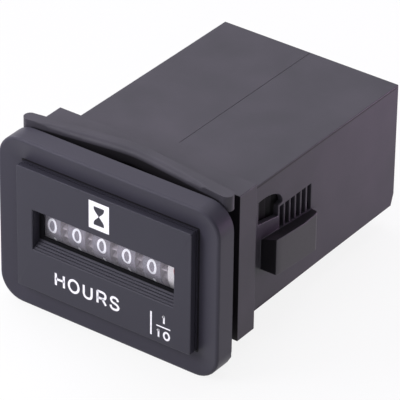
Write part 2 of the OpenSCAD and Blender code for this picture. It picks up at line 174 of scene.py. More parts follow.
# %% [markdown]
# ## Finishes
# Each finish is one call with two tones that a slow noise mixes. The black plastics have a lower specular
# level than the shader's own. The white figures glow a little, because the lamps reach little of the window's
# inside, and the lens is nearly clear.

# %% Plastic materials
WHEEL_Y = 4.0
CARRY_RING_R = 5.9
CARRY_RING_TONE = (0.50, 0.46, 0.49)
FIGURE_GLOW = 0.08
FIGURE_GLOW_TONE = (0.9, 0.93, 1.0, 1)
LENS_ALPHA = 0.07


def plastic(name, base, light, roughness=0.5, spread=0.12, grain=4000.0, bump=0.04, metallic=0.0, tone=90.0):
    """A Principled material whose colour, roughness and bump come from the grain group."""
    material = bpy.data.materials.new(name)
    material.use_nodes = True
    tree, link = material.node_tree.nodes, material.node_tree.links.new
    shader = tree["Principled BSDF"]
    group = tree.new("ShaderNodeGroup")
    group.node_tree = GRAIN
    group.inputs["Base"].default_value = (*base, 1)
    group.inputs["Light"].default_value = (*light, 1)
    group.inputs["Roughness"].default_value = roughness
    group.inputs["Spread"].default_value = spread
    group.inputs["Grain Scale"].default_value = grain
    group.inputs["Tone Scale"].default_value = tone
    height = tree.new("ShaderNodeBump")
    height.inputs["Strength"].default_value = bump
    height.inputs["Distance"].default_value = GRAIN_HEIGHT * MM
    link(group.outputs["Color"], shader.inputs["Base Color"])
    link(group.outputs["Roughness"], shader.inputs["Roughness"])
    link(group.outputs["Height"], height.inputs["Height"])
    link(height.outputs["Normal"], shader.inputs["Normal"])
    shader.inputs["Metallic"].default_value = metallic
    return material


def surface(material, name):
    """One input of the material's Principled shader."""
    return material.node_tree.nodes["Principled BSDF"].inputs[name]


def tone_under(material, mask, tone):
    """Mix the tone into the base colour where the mask is 1."""
    tree, link = material.node_tree.nodes, material.node_tree.links.new
    colour = surface(material, "Base Color")
    mix = tree.new("ShaderNodeMix")
    mix.data_type = "RGBA"
    mix.inputs["B"].default_value = (*tone, 1)
    link(mask, mix.inputs["Factor"])
    link(colour.links[0].from_socket, mix.inputs["A"])
    link(mix.outputs["Result"], colour)


def lighten_carry_ring(material, axle_y, inner_r, tone):
    """Nearer to the axle than inner_r, the colour is the lighter tone of the toothed carry ring."""
    tree, link = material.node_tree.nodes, material.node_tree.links.new
    where = tree.new("ShaderNodeTexCoord")
    split = tree.new("ShaderNodeVectorMath")
    split.operation = "MULTIPLY_ADD"
    split.inputs[1].default_value = (0, 1, 1)
    split.inputs[2].default_value = (0, -axle_y, 0)
    far = tree.new("ShaderNodeVectorMath")
    far.operation = "LENGTH"
    near = tree.new("ShaderNodeMath")
    near.operation = "LESS_THAN"
    near.inputs[1].default_value = inner_r
    link(where.outputs["Object"], split.inputs[0])
    link(split.outputs["Vector"], far.inputs[0])
    link(far.outputs["Value"], near.inputs[0])
    tone_under(material, near.outputs[0], tone)


SLEEVE_BLACK = plastic("sleeve_black", (0.0378, 0.0378, 0.0440), (0.0755, 0.0690, 0.0835), 0.45)
BEZEL_BLACK = plastic("bezel_black", (0.0405, 0.0388, 0.0510), (0.0465, 0.0446, 0.0590), 0.42)
FACE_BLACK = plastic("face_black", (0.0352, 0.0340, 0.0452), (0.0408, 0.0398, 0.0525), 0.42)
# Painted shade: a near-black copy of the bezel's plastic for the dish floor, bore and tube, which lie in
# shade.
TUBE_PAINTED_SHADE = plastic("tube_painted_shade", (0.010, 0.010, 0.011), (0.013, 0.012, 0.014), 0.6)
# Painted shade: a near-black matte copy of the face's plastic for the mask and lens seat behind the window.
MASK_PAINTED_SHADE = plastic("mask_painted_shade", (0.006, 0.006, 0.007), (0.008, 0.008, 0.009), 0.7)
GLOSS = (
    (SLEEVE_BLACK, 0.2),
    (BEZEL_BLACK, 0.2),
    (FACE_BLACK, 0.22),
    (TUBE_PAINTED_SHADE, 0.12),
    (MASK_PAINTED_SHADE, 0.05),
)
for material, gloss in GLOSS:
    surface(material, "Specular IOR Level").default_value = gloss
WHEEL_BLACK = plastic("wheel_black", (0.145, 0.165, 0.200), (0.275, 0.232, 0.268), 0.45, tone=560.0)
WHEEL_WHITE = plastic("wheel_white", (0.78, 0.77, 0.75), (0.84, 0.83, 0.81), 0.45)
FRAME_GREY = plastic("frame_grey", (0.22, 0.22, 0.21), (0.27, 0.27, 0.26), 0.55)
PINION_CREAM = plastic("pinion_cream", (0.62, 0.59, 0.5), (0.7, 0.67, 0.58), 0.4)
STEEL = plastic("ground_steel", (0.5, 0.5, 0.52), (0.6, 0.6, 0.62), 0.3, metallic=1.0)
BRASS = plastic("cut_brass", (0.62, 0.47, 0.2), (0.72, 0.56, 0.27), 0.3, metallic=1.0)
TINNED = plastic("tinned_brass", (0.62, 0.6, 0.52), (0.72, 0.7, 0.62), 0.28, spread=0.05, bump=0.01,
                 metallic=1.0)
COPPER = plastic("enamelled_copper", (0.45, 0.18, 0.07), (0.55, 0.25, 0.11), 0.35, metallic=1.0)
MAGNET = plastic("sintered_magnet", (0.05, 0.05, 0.055), (0.08, 0.08, 0.085), 0.5, metallic=0.6)
BOARD = plastic("board_green", (0.02, 0.10, 0.05), (0.03, 0.14, 0.07), 0.4)
CAPACITOR = plastic("capacitor_blue", (0.02, 0.03, 0.12), (0.03, 0.045, 0.16), 0.3)
PRINT_WHITE = plastic("print_white", (0.94, 0.94, 0.95), (0.97, 0.97, 0.98), 0.5, bump=0.0)
FIGURE_WHITE = plastic("figure_white", (0.96, 0.97, 1.0), (0.98, 0.99, 1.0), 0.4, bump=0.0)
surface(FIGURE_WHITE, "Emission Color").default_value = FIGURE_GLOW_TONE
surface(FIGURE_WHITE, "Emission Strength").default_value = FIGURE_GLOW
PRINT_RED = plastic("print_red", (0.55, 0.03, 0.03), (0.62, 0.05, 0.04), 0.5, bump=0.0)
CLEAR = plastic("clear_window", (0.8, 0.78, 0.82), (0.85, 0.83, 0.87), 0.08, spread=0.02, bump=0.0)
surface(CLEAR, "Alpha").default_value = LENS_ALPHA
lighten_carry_ring(WHEEL_BLACK, WHEEL_Y * MM, CARRY_RING_R * MM, CARRY_RING_TONE)
print("finishes", len(bpy.data.materials))

# %% [markdown]
# ## Painted shade on the sleeve
# In the photograph the front of the springs and the finger tabs look nearly black, where they lie in shade,
# and a fine dark line runs below the top edges. The lamps here don't make these places so dark, so painted
# shade in tones judged from the photograph is mixed into the colour, and the line is painted dark too. The
# shallow parting groove gets a slightly lighter tone, painted light over its shade, because it looks faint
# there. Each mask is a product of ramps over Object coordinates, and a span says where a ramp is 0 and where
# it is 1, in mm.

# %% Painted shade on the sleeve
SPRING_MIDDLE = 1.25
TOP_TAPER = 0.00709
# Painted shade: the near-black tone on the front of springs and collar and on the inner finger tabs.
PAINTED_SHADE_TONE = (0.014, 0.013, 0.015)
FRONT_DEPTH = (4.98, 4.92)
FRONT_LEVEL = (14.7, 14.4)
FRONT_SLANT = 0.5
FRONT_REACH = (19.0, 18.6)
# Painted shade on the finger tabs.
TAB_PAINTED_SHADE_TONE = (0.024, 0.0225, 0.0275)
TAB_SIDE = (18.4, 18.5)
TAB_DEPTH = (11.0, 11.1)
TAB_SLANT = 0.13
TAB_OUTER = (23.25, 23.05)
LINE_TONE = (0.004, 0.004, 0.005)
LINE_LOW = (11.85, 11.95)
LINE_HIGH = (12.25, 12.15)
LINE_SIDE = (18.15, 18.25)
LINE_DEPTH = (10.0, 10.1)
# Painted light: a lighter tone over the shade in the parting groove.
GROOVE_PAINTED_LIGHT_TONE = (0.085, 0.08, 0.09)
GROOVE_SIDE = (0.16, 0.14)
GROOVE_FLOOR = (12.32, 12.3)
GROOVE_UPPER = (10.9, 11.0)


def ramp(tree, link, place, slope, span):
    """Slope times place, in mm, carried smoothly from 0 at the start of the span to 1 at its end."""
    along = tree.new("ShaderNodeVectorMath")
    along.operation = "DOT_PRODUCT"
    along.inputs[1].default_value = [s / MM for s in slope]
    step = tree.new("ShaderNodeMapRange")
    step.interpolation_type = "SMOOTHSTEP"
    step.inputs["From Min"].default_value = span[0]
    step.inputs["From Max"].default_value = span[1]
    link(place, along.inputs[0])
    link(along.outputs["Value"], step.inputs["Value"])
    return step.outputs["Result"]


def folded(tree, link, place):
    """Place measured from the level of the springs' middle, with every coordinate made positive."""
    shift = tree.new("ShaderNodeVectorMath")
    shift.operation = "ADD"
    shift.inputs[1].default_value = (0, 0, -SPRING_MIDDLE * MM)
    fold = tree.new("ShaderNodeVectorMath")
    fold.operation = "ABSOLUTE"
    link(place, shift.inputs[0])
    link(shift.outputs[0], fold.inputs[0])
    return fold.outputs[0]


def product(tree, link, masks):
    """All the masks multiplied."""
    total = masks[0]
    for mask in masks[1:]:
        times = tree.new("ShaderNodeMath")
        times.operation = "MULTIPLY"
        link(total, times.inputs[0])
        link(mask, times.inputs[1])
        total = times.outputs[0]
    return total


def darken_sleeve(material):
    """Painted shade on spring and collar fronts and finger tabs, a dark line under top edges, painted light
    in the groove.
    """
    tree, link = material.node_tree.nodes, material.node_tree.links.new
    where = tree.new("ShaderNodeTexCoord").outputs["Object"]
    half = folded(tree, link, where)
    front = [ramp(tree, link, half, (0, 1, 0), FRONT_DEPTH),
             ramp(tree, link, half, (0, 0, 1), FRONT_LEVEL),
             ramp(tree, link, half, (1, -FRONT_SLANT, 0), FRONT_REACH)]
    tab = [ramp(tree, link, half, (1, 0, 0), TAB_SIDE),
           ramp(tree, link, half, (0, 1, 0), TAB_DEPTH)]
    tab_inner = tab + [ramp(tree, link, half, (1, TAB_SLANT, 0), TAB_OUTER)]
    line = [ramp(tree, link, where, (0, TOP_TAPER, 1), LINE_LOW),
            ramp(tree, link, where, (0, TOP_TAPER, 1), LINE_HIGH),
            ramp(tree, link, half, (1, 0, 0), LINE_SIDE),
            ramp(tree, link, half, (0, 1, 0), LINE_DEPTH)]
    groove = [ramp(tree, link, half, (1, 0, 0), GROOVE_SIDE),
              ramp(tree, link, where, (0, TOP_TAPER, 1), GROOVE_FLOOR),
              ramp(tree, link, where, (0, 0, 1), GROOVE_UPPER)]
    # Painted shade, the dark line and painted light, each mixed in where its masks meet.
    toned = (
        (front, PAINTED_SHADE_TONE),
        (tab, TAB_PAINTED_SHADE_TONE),
        (tab_inner, PAINTED_SHADE_TONE),
        (line, LINE_TONE),
        (groove, GROOVE_PAINTED_LIGHT_TONE),
    )
    for masks, tone in toned:
        tone_under(material, product(tree, link, masks), tone)


darken_sleeve(SLEEVE_BLACK)
print("sleeve nodes", len(SLEEVE_BLACK.node_tree.nodes))

# %% [markdown]
# ## Finishes on the CAD pieces
# The pieces that come over from the CAD get their finish by name. The bezel case and the face cover are not
# among them, because pieces built below stand for them.

# %% Finish the carried-over nodes
BLACK_WHEELS = 5
FINISH = {
    "window_lens": CLEAR,
    "rear_cover": BEZEL_BLACK,
    "clamp_sleeve": SLEEVE_BLACK,
    "wheel_6": WHEEL_WHITE,
    "counter_frame": FRAME_GREY,
    "movement_plate": FRAME_GREY,
    "idler_gear": BRASS,
    "drive_arbor": BRASS,
    "rotor_magnet": MAGNET,
    "bobbin": FACE_BLACK,
    "winding": COPPER,
    "circuit_board": BOARD,
    "chip": FACE_BLACK,
    "capacitor": CAPACITOR,
    "terminal_left": TINNED,
    "terminal_right": TINNED,
}
for node in ("wheel_shaft", "pinion_shaft", "idler_stud", "rotor_arbor", "stator", "coil_core", "crystal"):
    FINISH[node] = STEEL
for k in range(1, BLACK_WHEELS + 1):
    FINISH[f"wheel_{k}"] = WHEEL_BLACK
    FINISH[f"pinion_{k}"] = PINION_CREAM
for node, material in FINISH.items():
    nodes[node].data.materials.clear()
    nodes[node].data.materials.append(material)
print("finished nodes", len(FINISH))

# %% [markdown]
# ## Soft moulded edges
# A mould never leaves a razor edge. The sleeve, the rear cover and the blades are welded and their flat
# facets joined, and a small bevel rounds the edges that turn by more than 30 degrees. On the sleeve, geometry
# nodes store two weights that say which edges are rounded: the springs' front edges get a large round nose
# that fades to their feet, and plain edges a small radius.

# %% Edge softening
SOFT_EDGE = {"rear_cover": 0.15, "terminal_left": 0.12, "terminal_right": 0.12}
SLEEVE_EDGE = 0.14
NOSE_RADIUS = 1.2
EDGE_SEGMENTS = 3
NOSE_SEGMENTS = 6
SHARP_ANGLE = math.radians(30)
WELD_REACH = 0.001
CLOSE_REACH = 0.004
FLAT_DEGREES = 0.5
SLEEVE_FLAT_DEGREES = 0.02
FACE_WEIGHT = 80
NOSE_SLANT = 0.13
NOSE_DEPTH = (4.02, 3.98)
NOSE_LEVEL = (15.6, 15.7)
NOSE_FADE = (20.0, 9.0)
PLAIN_SIDE = (0.8, 0.9)
PLAIN_DEPTH = (4.7, 4.8)


def weld(piece, name, reach_mm):
    """Join the points that lie closer together than the reach."""
    join = piece.modifiers.new(name, "WELD")
    join.merge_threshold = reach_mm * MM


def join_facets(piece, flat_degrees):
    """Weld the loose triangles and join the flat ones."""
    weld(piece, "weld", WELD_REACH)
    flat = piece.modifiers.new("flat", "DECIMATE")
    flat.decimate_type = "DISSOLVE"
    flat.angle_limit = math.radians(flat_degrees)


def level_normals(piece):
    """Normals at the corners follow the larger faces, and sharp edges stay sharp."""
    level = piece.modifiers.new("level", "WEIGHTED_NORMAL")
    level.keep_sharp = True
    level.weight = FACE_WEIGHT


def bevel(piece, radius_mm, segments, weights=None):
    """Each sharp edge becomes an arc of that radius, or of the radius times a named weight of the edges."""
    edge = piece.modifiers.new("edge", "BEVEL")
    edge.width = radius_mm * MM
    edge.segments = segments
    edge.limit_method = "WEIGHT" if weights else "ANGLE"
    edge.angle_limit = SHARP_ANGLE
    edge.harden_normals = weights is None
    edge.use_clamp_overlap = weights is None
    if weights:
        edge.edge_weight = weights


def store_weight(tree, link, geometry, name, value):
    """Keep a value per edge under a name."""
    store = tree.new("GeometryNodeStoreNamedAttribute")
    store.data_type = "FLOAT"
    store.domain = "EDGE"
    store.inputs["Name"].default_value = name
    link(geometry, store.inputs["Geometry"])
    link(value, store.inputs["Value"])
    return store.outputs["Geometry"]


def sharp_edges(tree, link):
    """1 on edges that turn by more than the sharp angle."""
    sharp = tree.new("ShaderNodeMath")
    sharp.operation = "GREATER_THAN"
    sharp.inputs[1].default_value = SHARP_ANGLE
    link(tree.new("GeometryNodeInputMeshEdgeAngle").outputs["Unsigned Angle"], sharp.inputs[0])
    return sharp.outputs[0]


def geometry_group(name):
    """An empty geometry node group, with the ends where the mesh comes in and goes out."""
    group = bpy.data.node_groups.new(name, "GeometryNodeTree")
    add_socket(group, "Geometry", "NodeSocketGeometry", "INPUT")
    add_socket(group, "Geometry", "NodeSocketGeometry", "OUTPUT")
    tree = group.nodes
    return group, tree.new("NodeGroupInput").outputs[0], tree.new("NodeGroupOutput").inputs[0]


def build_creases():
    """Smooth faces, with a crease along every sharp edge."""
    group, mesh_in, mesh_out = geometry_group("creases")
    tree, link = group.nodes, group.links.new
    smooth = tree.new("GeometryNodeSetShadeSmooth")
    smooth.domain = "FACE"
    crease = tree.new("GeometryNodeSetShadeSmooth")
    crease.domain = "EDGE"
    crease.inputs["Shade Smooth"].default_value = False
    link(mesh_in, smooth.inputs["Geometry"])
    link(smooth.outputs["Geometry"], crease.inputs["Geometry"])
    link(sharp_edges(tree, link), crease.inputs["Selection"])
    link(crease.outputs["Geometry"], mesh_out)
    return group


def build_sleeve_weights():
    """Two named weights of the edges.

    Nose weight: 1 in the middle of each spring's outer front edge, and 0 at its feet.
    Rim weight: 1 on plain edges.
    """
    group, mesh_in, mesh_out = geometry_group("sleeve_weights")
    tree, link = group.nodes, group.links.new
    half = folded(tree, link, tree.new("GeometryNodeInputPosition").outputs[0])
    sharp = sharp_edges(tree, link)
    nose = product(tree, link, [sharp,
                                ramp(tree, link, half, (NOSE_SLANT, 1, 0), NOSE_DEPTH),
                                ramp(tree, link, half, (0, 0, 1), NOSE_LEVEL),
                                ramp(tree, link, half, (1, 0, 0), NOSE_FADE)])
    plain = product(tree, link, [sharp,
                                 ramp(tree, link, half, (1, 0, 0), PLAIN_SIDE),
                                 ramp(tree, link, half, (0, 1, 0), PLAIN_DEPTH)])
    named = store_weight(tree, link, mesh_in, "nose_weight", nose)
    named = store_weight(tree, link, named, "rim_weight", plain)
    link(named, mesh_out)
    return group


sleeve = nodes["clamp_sleeve"]
join_facets(sleeve, SLEEVE_FLAT_DEGREES)
sleeve.modifiers.new("weights", "NODES").node_group = build_sleeve_weights()
bevel(sleeve, NOSE_RADIUS, NOSE_SEGMENTS, "nose_weight")
bevel(sleeve, SLEEVE_EDGE, EDGE_SEGMENTS, "rim_weight")
weld(sleeve, "close", CLOSE_REACH)
sleeve.modifiers.new("creases", "NODES").node_group = build_creases()
level_normals(sleeve)
for node, radius_mm in SOFT_EDGE.items():
    join_facets(nodes[node], FLAT_DEGREES)
    bevel(nodes[node], radius_mm, EDGE_SEGMENTS)
print("softened", 1 + len(SOFT_EDGE))

# %% [markdown]
# ## Frames as lofted rings
# The bezel with its tube and the face cover are both frames: a closed profile carried round a rectangle. Each
# row of the table is one ring, given by its four sides, its corner radius and its depth. The rings are joined
# to a grid of two parameters, along the profile and round the frame, that closes on itself both ways.

# %% Ring loft
CORNER_STEPS = 8
WALK_X = np.array([-0.5, 0.0, 0.5])
WALK_Z = np.array([-0.3, 0.3])


def ring_walk(side_x, side_z):
    """Centre factors and unit normals round a rounded rectangle: corner arcs joined by straight sides."""
    turn = np.linspace(0, math.pi / 2, CORNER_STEPS + 1)
    parts = []
    for quarter, (sx, sz) in enumerate(((1, 1), (-1, 1), (-1, -1), (1, -1))):
        angle = turn + quarter * math.pi / 2
        middle_x, middle_z = np.full_like(angle, sx), np.full_like(angle, sz)
        parts.append(np.stack([middle_x, middle_z, np.cos(angle), np.sin(angle)], axis=1))
        if quarter in (0, 2):
            fill = side_x if quarter == 2 else side_x[::-1]
            edge = np.full_like(fill, sz)
            rows = np.stack([fill, edge, np.zeros_like(fill), edge], axis=1)
        else:
            fill = side_z if quarter == 3 else side_z[::-1]
            edge = np.full_like(fill, sx)
            rows = np.stack([edge, fill, edge, np.zeros_like(fill)], axis=1)
        parts.append(rows)
    return np.concatenate(parts)


def ring_grid(rings, walk):
    """Point = ring middle + centre factor x (half size - radius) + normal x radius, at the ring's depth."""
    x0, x1, z0, z1, radius, depth = (rings[:, i : i + 1] for i in range(6))
    cx, cz, ux, uz = walk.T
    x = (x0 + x1) / 2 + cx * ((x1 - x0) / 2 - radius) + ux * radius
    z = (z0 + z1) / 2 + cz * ((z1 - z0) / 2 - radius) + uz * radius
    return np.stack([x, np.broadcast_to(depth, x.shape), z], axis=-1)


def grid_piece(name, grid, material, sharp_degrees=35):
    """A mesh from a grid of points in mm that closes on itself in both directions."""
    rows, cols = grid.shape[:2]
    index = np.arange(rows * cols).reshape(rows, cols)
    right, down = np.roll(index, -1, axis=1), np.roll(index, -1, axis=0)
    faces = np.stack([index, right, np.roll(right, -1, axis=0), down], axis=-1).reshape(-1, 4)
    mesh = bpy.data.meshes.new(name)
    mesh.from_pydata((grid.reshape(-1, 3) * MM).tolist(), [], faces.tolist())
    mesh.materials.append(material)
    mesh.polygons.foreach_set("use_smooth", np.ones(len(faces), dtype=bool))
    mesh.set_sharp_from_angle(angle=math.radians(sharp_degrees))
    mesh.update()
    piece = bpy.data.objects.new(name, mesh)
    scene.collection.objects.link(piece)
    level_normals(piece)
    return piece


def paint_rows(piece, material, first, last, cols):
    """Give the bands of the grid from row first up to row last another material."""
    piece.data.materials.append(material)
    rows = np.arange(len(piece.data.polygons)) // cols
    piece.data.polygons.foreach_set("material_index", ((rows >= first) & (rows < last)).astype(np.int32))


def arc_rows(rings_from, rings_to, steps):
    """Rows that turn a corner into a quarter ellipse: depth follows a sine, sizes one minus a cosine."""
    s = np.linspace(0, math.pi / 2, steps + 1)[:, None]
    a, b = np.asarray(rings_from, float), np.asarray(rings_to, float)
    sizes = a + (b - a) * (1 - np.cos(s))
    depths = a + (b - a) * np.sin(s)
    return np.concatenate([sizes[:, :5], depths[:, 5:]], axis=1)


def centred(half_x, half_z, radius, depth):
    """One ring centred on the axis."""
    return [-half_x, half_x, -half_z, half_z, radius, depth]


print("corner steps", CORNER_STEPS)

# %% [markdown]
# ## Bezel and tube
# The profile runs from the back of the bezel round its edge, over the rim, down into the dish, through the
# bore to the rear and back along the outside of the tube, where ratchet teeth are cut into both sides.

# %% Bezel and tube
BEZEL_HALF = (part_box("bezel_case")[1][0] / MM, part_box("bezel_case")[1][2] / MM)
BEZEL_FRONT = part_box("bezel_case")[0][1] / MM
TUBE_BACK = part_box("bezel_case")[1][1] / MM
TUBE_HALF = (17.1, 10.75)
BORE_HALF = (16.1, 9.75)
COVER_HALF = (17.9, 11.7)
BEZEL_CORNER = 4.6
BEZEL_EDGE = 0.5
RIM_WIDTH = 0.6
DISH_DEPTH = 0.8
DISH_GAP = 0.3
TOOTH_Z = (-2.5, 8.5)
TOOTH_PITCH = 1.6
TOOTH_DEPTH = 0.45
TOOTH_START = 7.0
TOOTH_COUNT = 25
TOOTH_RAMP = 0.8
HAIR = 0.001
BORE_CORNER = 0.05
TUBE_CORNER = 0.15
SHADED_FRONT_ROWS = 4
SEAT_CORNER = 0.3
EASE = 0.25
EASE_RISE = 0.06
EASE_CORNER = 0.8
RIM_FALL = 0.01
EDGE_STEPS = 5
SIDEWAYS = 0.99
bx, bz = BEZEL_HALF
tooth_rows = []
for k in range(TOOTH_COUNT):
    y = TOOTH_START + k * TOOTH_PITCH
    tooth_rows.append((y, 0.0))
    tooth_rows.append((y + HAIR, TOOTH_DEPTH))
    tooth_rows.append((y + TOOTH_RAMP * TOOTH_PITCH, 0.0))
tooth_rows = np.array(tooth_rows[::-1])
rim_in = (bx - RIM_WIDTH, bz - RIM_WIDTH)
seat = (COVER_HALF[0] + DISH_GAP, COVER_HALF[1] + DISH_GAP)
edge_from = centred(bx, bz, BEZEL_CORNER, BEZEL_FRONT + BEZEL_EDGE)
edge_to = centred(bx - BEZEL_EDGE, bz - BEZEL_EDGE, BEZEL_CORNER - BEZEL_EDGE, BEZEL_FRONT)
front_rows = np.concatenate([
    [centred(bx, bz, BEZEL_CORNER, 0.0)],
    arc_rows(edge_from, edge_to, EDGE_STEPS),
    [centred(*rim_in, BEZEL_CORNER - RIM_WIDTH, BEZEL_FRONT + RIM_FALL)],
    [centred(seat[0] + EASE, seat[1] + EASE, EASE_CORNER, BEZEL_FRONT + DISH_DEPTH - EASE_RISE)],
    [centred(*seat, SEAT_CORNER, BEZEL_FRONT + DISH_DEPTH)],
    [centred(*BORE_HALF, BORE_CORNER, BEZEL_FRONT + DISH_DEPTH)],
    [centred(*BORE_HALF, BORE_CORNER, TUBE_BACK)],
    [centred(*TUBE_HALF, TUBE_CORNER, TUBE_BACK)],
])
tube_rows = np.array([centred(*TUBE_HALF, TUBE_CORNER, y) for y in tooth_rows[:, 0]])
back_rows = np.array([centred(*TUBE_HALF, TUBE_CORNER, 0.0)])
bezel_rings = np.concatenate([front_rows, tube_rows, back_rows])
straight = TUBE_HALF[1] - TUBE_CORNER
side_z = np.array([TOOTH_Z[0] - HAIR, TOOTH_Z[0], TOOTH_Z[1], TOOTH_Z[1] + HAIR]) / straight
bezel_walk = ring_walk(WALK_X, side_z)
bezel_grid = ring_grid(bezel_rings, bezel_walk)
cut = np.zeros(len(bezel_rings))
cut[len(front_rows) : len(front_rows) + len(tooth_rows)] = tooth_rows[:, 1]
on_side = np.abs(bezel_walk[:, 2]) > SIDEWAYS
inside = on_side & (bezel_walk[:, 1] >= side_z[1]) & (bezel_walk[:, 1] <= side_z[2])
bezel_grid[:, :, 0] -= np.sign(bezel_walk[:, 2]) * inside * cut[:, None]
bezel = grid_piece("bezel_visual", bezel_grid, BEZEL_BLACK)
# Painted shade: from the dish floor under the cover to the back, the rows get the near-black tube plastic.
paint_rows(bezel, TUBE_PAINTED_SHADE, len(front_rows) - SHADED_FRONT_ROWS, len(bezel_rings) - 1, len(bezel_walk))
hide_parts("bezel_case")
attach(bezel, "meter")
print("bezel grid", bezel_grid.shape[:2])

# %% [markdown]
# ## Face cover
# The outside of the profile steps from the spigot in the bore over a ledge and a waist to the face. The
# inside goes back over the stepped sill of the window to the mask and the seat of the lens.

# %% Face cover
INK = 0.012
FACE_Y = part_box("face_cover")[0][1] / MM + INK
SPIGOT_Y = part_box("face_cover")[1][1] / MM
DISH_Y = BEZEL_FRONT + DISH_DEPTH
LEDGE = 0.45
WAIST = 0.3
WAIST_DEPTH = 0.35
COVER_EDGE = 0.16
COVER_STEPS = 4
COVER_CORNER = 0.3
SPIGOT_GAP = 0.1
LEDGE_CORNER = 0.2
WAIST_CORNER = 0.1
WINDOW_CORNER = 0.1
COVER_SHARP = 30
WINDOW = (-14.65, 14.45, -3.65, 4.05)
WINDOW_EDGE = 0.12
SILL_STEPS = 4
SILL_RISE = 0.3
SILL_RUN = 0.45
SILL_EDGE = 0.1
SILL_DRAFT = 0.02
MASK_Y = -3.2
MASK_T = 0.3
MASK_SIDE = 0.9
MASK_LIP = 0.65
LENS_LAP = 1.0
wx0, wx1, wz0, wz1 = WINDOW
cx, cz = COVER_HALF
spigot = (BORE_HALF[0] - SPIGOT_GAP, BORE_HALF[1] - SPIGOT_GAP)
waist = (cx - WAIST_DEPTH, cz - WAIST_DEPTH)
outer_rows = np.concatenate([
    [centred(*spigot, BORE_CORNER, SPIGOT_Y)],
    [centred(*spigot, BORE_CORNER, DISH_Y)],
    [centred(cx, cz, LEDGE_CORNER, DISH_Y)],
    [centred(cx, cz, LEDGE_CORNER, DISH_Y - LEDGE)],
    [centred(*waist, WAIST_CORNER, DISH_Y - LEDGE)],
    [centred(*waist, WAIST_CORNER, DISH_Y - LEDGE - WAIST)],
    [centred(cx, cz, COVER_CORNER, DISH_Y - LEDGE - WAIST)],
    arc_rows(centred(cx, cz, COVER_CORNER, FACE_Y + COVER_EDGE),
             centred(cx - COVER_EDGE, cz - COVER_EDGE, COVER_CORNER, FACE_Y), COVER_STEPS),
])


def opening(bottom, depth, margin=0.0, top=wz1, corner=WINDOW_CORNER):
    """One ring of the window, with its own bottom, depth, margin at the sides and top."""
    return [wx0 - margin, wx1 + margin, bottom, top, corner, depth]


window_rows = [
    opening(wz0 - WINDOW_EDGE, FACE_Y, WINDOW_EDGE, wz1 + WINDOW_EDGE, WINDOW_EDGE),
    opening(wz0, FACE_Y + WINDOW_EDGE),
]
for k in range(SILL_STEPS):
    low = wz0 + SILL_RISE * k
    high = wz0 + SILL_RISE * (k + 1)
    tread = FACE_Y + SILL_RUN * (k + 1)
    window_rows.append(opening(low, tread - SILL_EDGE))
    window_rows.append(opening(low + SILL_EDGE, tread))
    window_rows.append(opening(high - SILL_EDGE, tread + SILL_DRAFT))
    window_rows.append(opening(high, tread + SILL_EDGE))
sill_top = wz0 + SILL_RISE * SILL_STEPS
lens_y = MASK_Y + MASK_T
mask_rows = [
    opening(sill_top, MASK_Y),
    opening(sill_top + MASK_LIP, MASK_Y, -MASK_SIDE, wz1 - SILL_RISE),
    opening(sill_top + MASK_LIP, lens_y, -MASK_SIDE, wz1 - SILL_RISE),
    opening(wz0 - LENS_LAP, lens_y, LENS_LAP, wz1 + LENS_LAP),
    opening(wz0 - LENS_LAP, SPIGOT_Y, LENS_LAP, wz1 + LENS_LAP),
]
cover_walk = ring_walk(WALK_X, WALK_Z)
cover_grid = ring_grid(np.concatenate([outer_rows, np.array(window_rows + mask_rows)]), cover_walk)
cover = grid_piece("cover_visual", cover_grid, FACE_BLACK, COVER_SHARP)
mask_start = len(cover_grid) - len(mask_rows)
# Painted shade: the mask and lens seat rows get the near-black mask plastic, for the dark band under the
# wheels.
paint_rows(cover, MASK_PAINTED_SHADE, mask_start, len(cover_grid) - 1, len(cover_walk))
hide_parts("face_cover")
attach(cover, "meter")
print("cover grid", cover_grid.shape[:2])

# %% [markdown]
# ## Figures drawn with a pen
# The figures and letters could come from a font, but the real ones are plain strokes of one width. Each
# sign is a list of pen paths in a unit box. A path is a smooth curve through a few points, and the pen
# leaves a ribbon.

# %% Pen paths
OVAL_POINTS = 8
LINE_POINTS = 6
ROUND = np.linspace(0, 2 * math.pi, OVAL_POINTS + 1)[:-1]


def oval(cx, cz, rx, rz):
    """Points round an ellipse, for a closed path."""
    return ("loop", np.stack([cx + rx * np.sin(ROUND), cz + rz * np.cos(ROUND)], axis=1))


def bend(*spots):
    """A smooth path through points."""
    return ("bend", np.array(spots, float))


def line(x0, z0, x1, z1):
    """A straight path."""
    return ("bend", np.linspace((x0, z0), (x1, z1), LINE_POINTS))


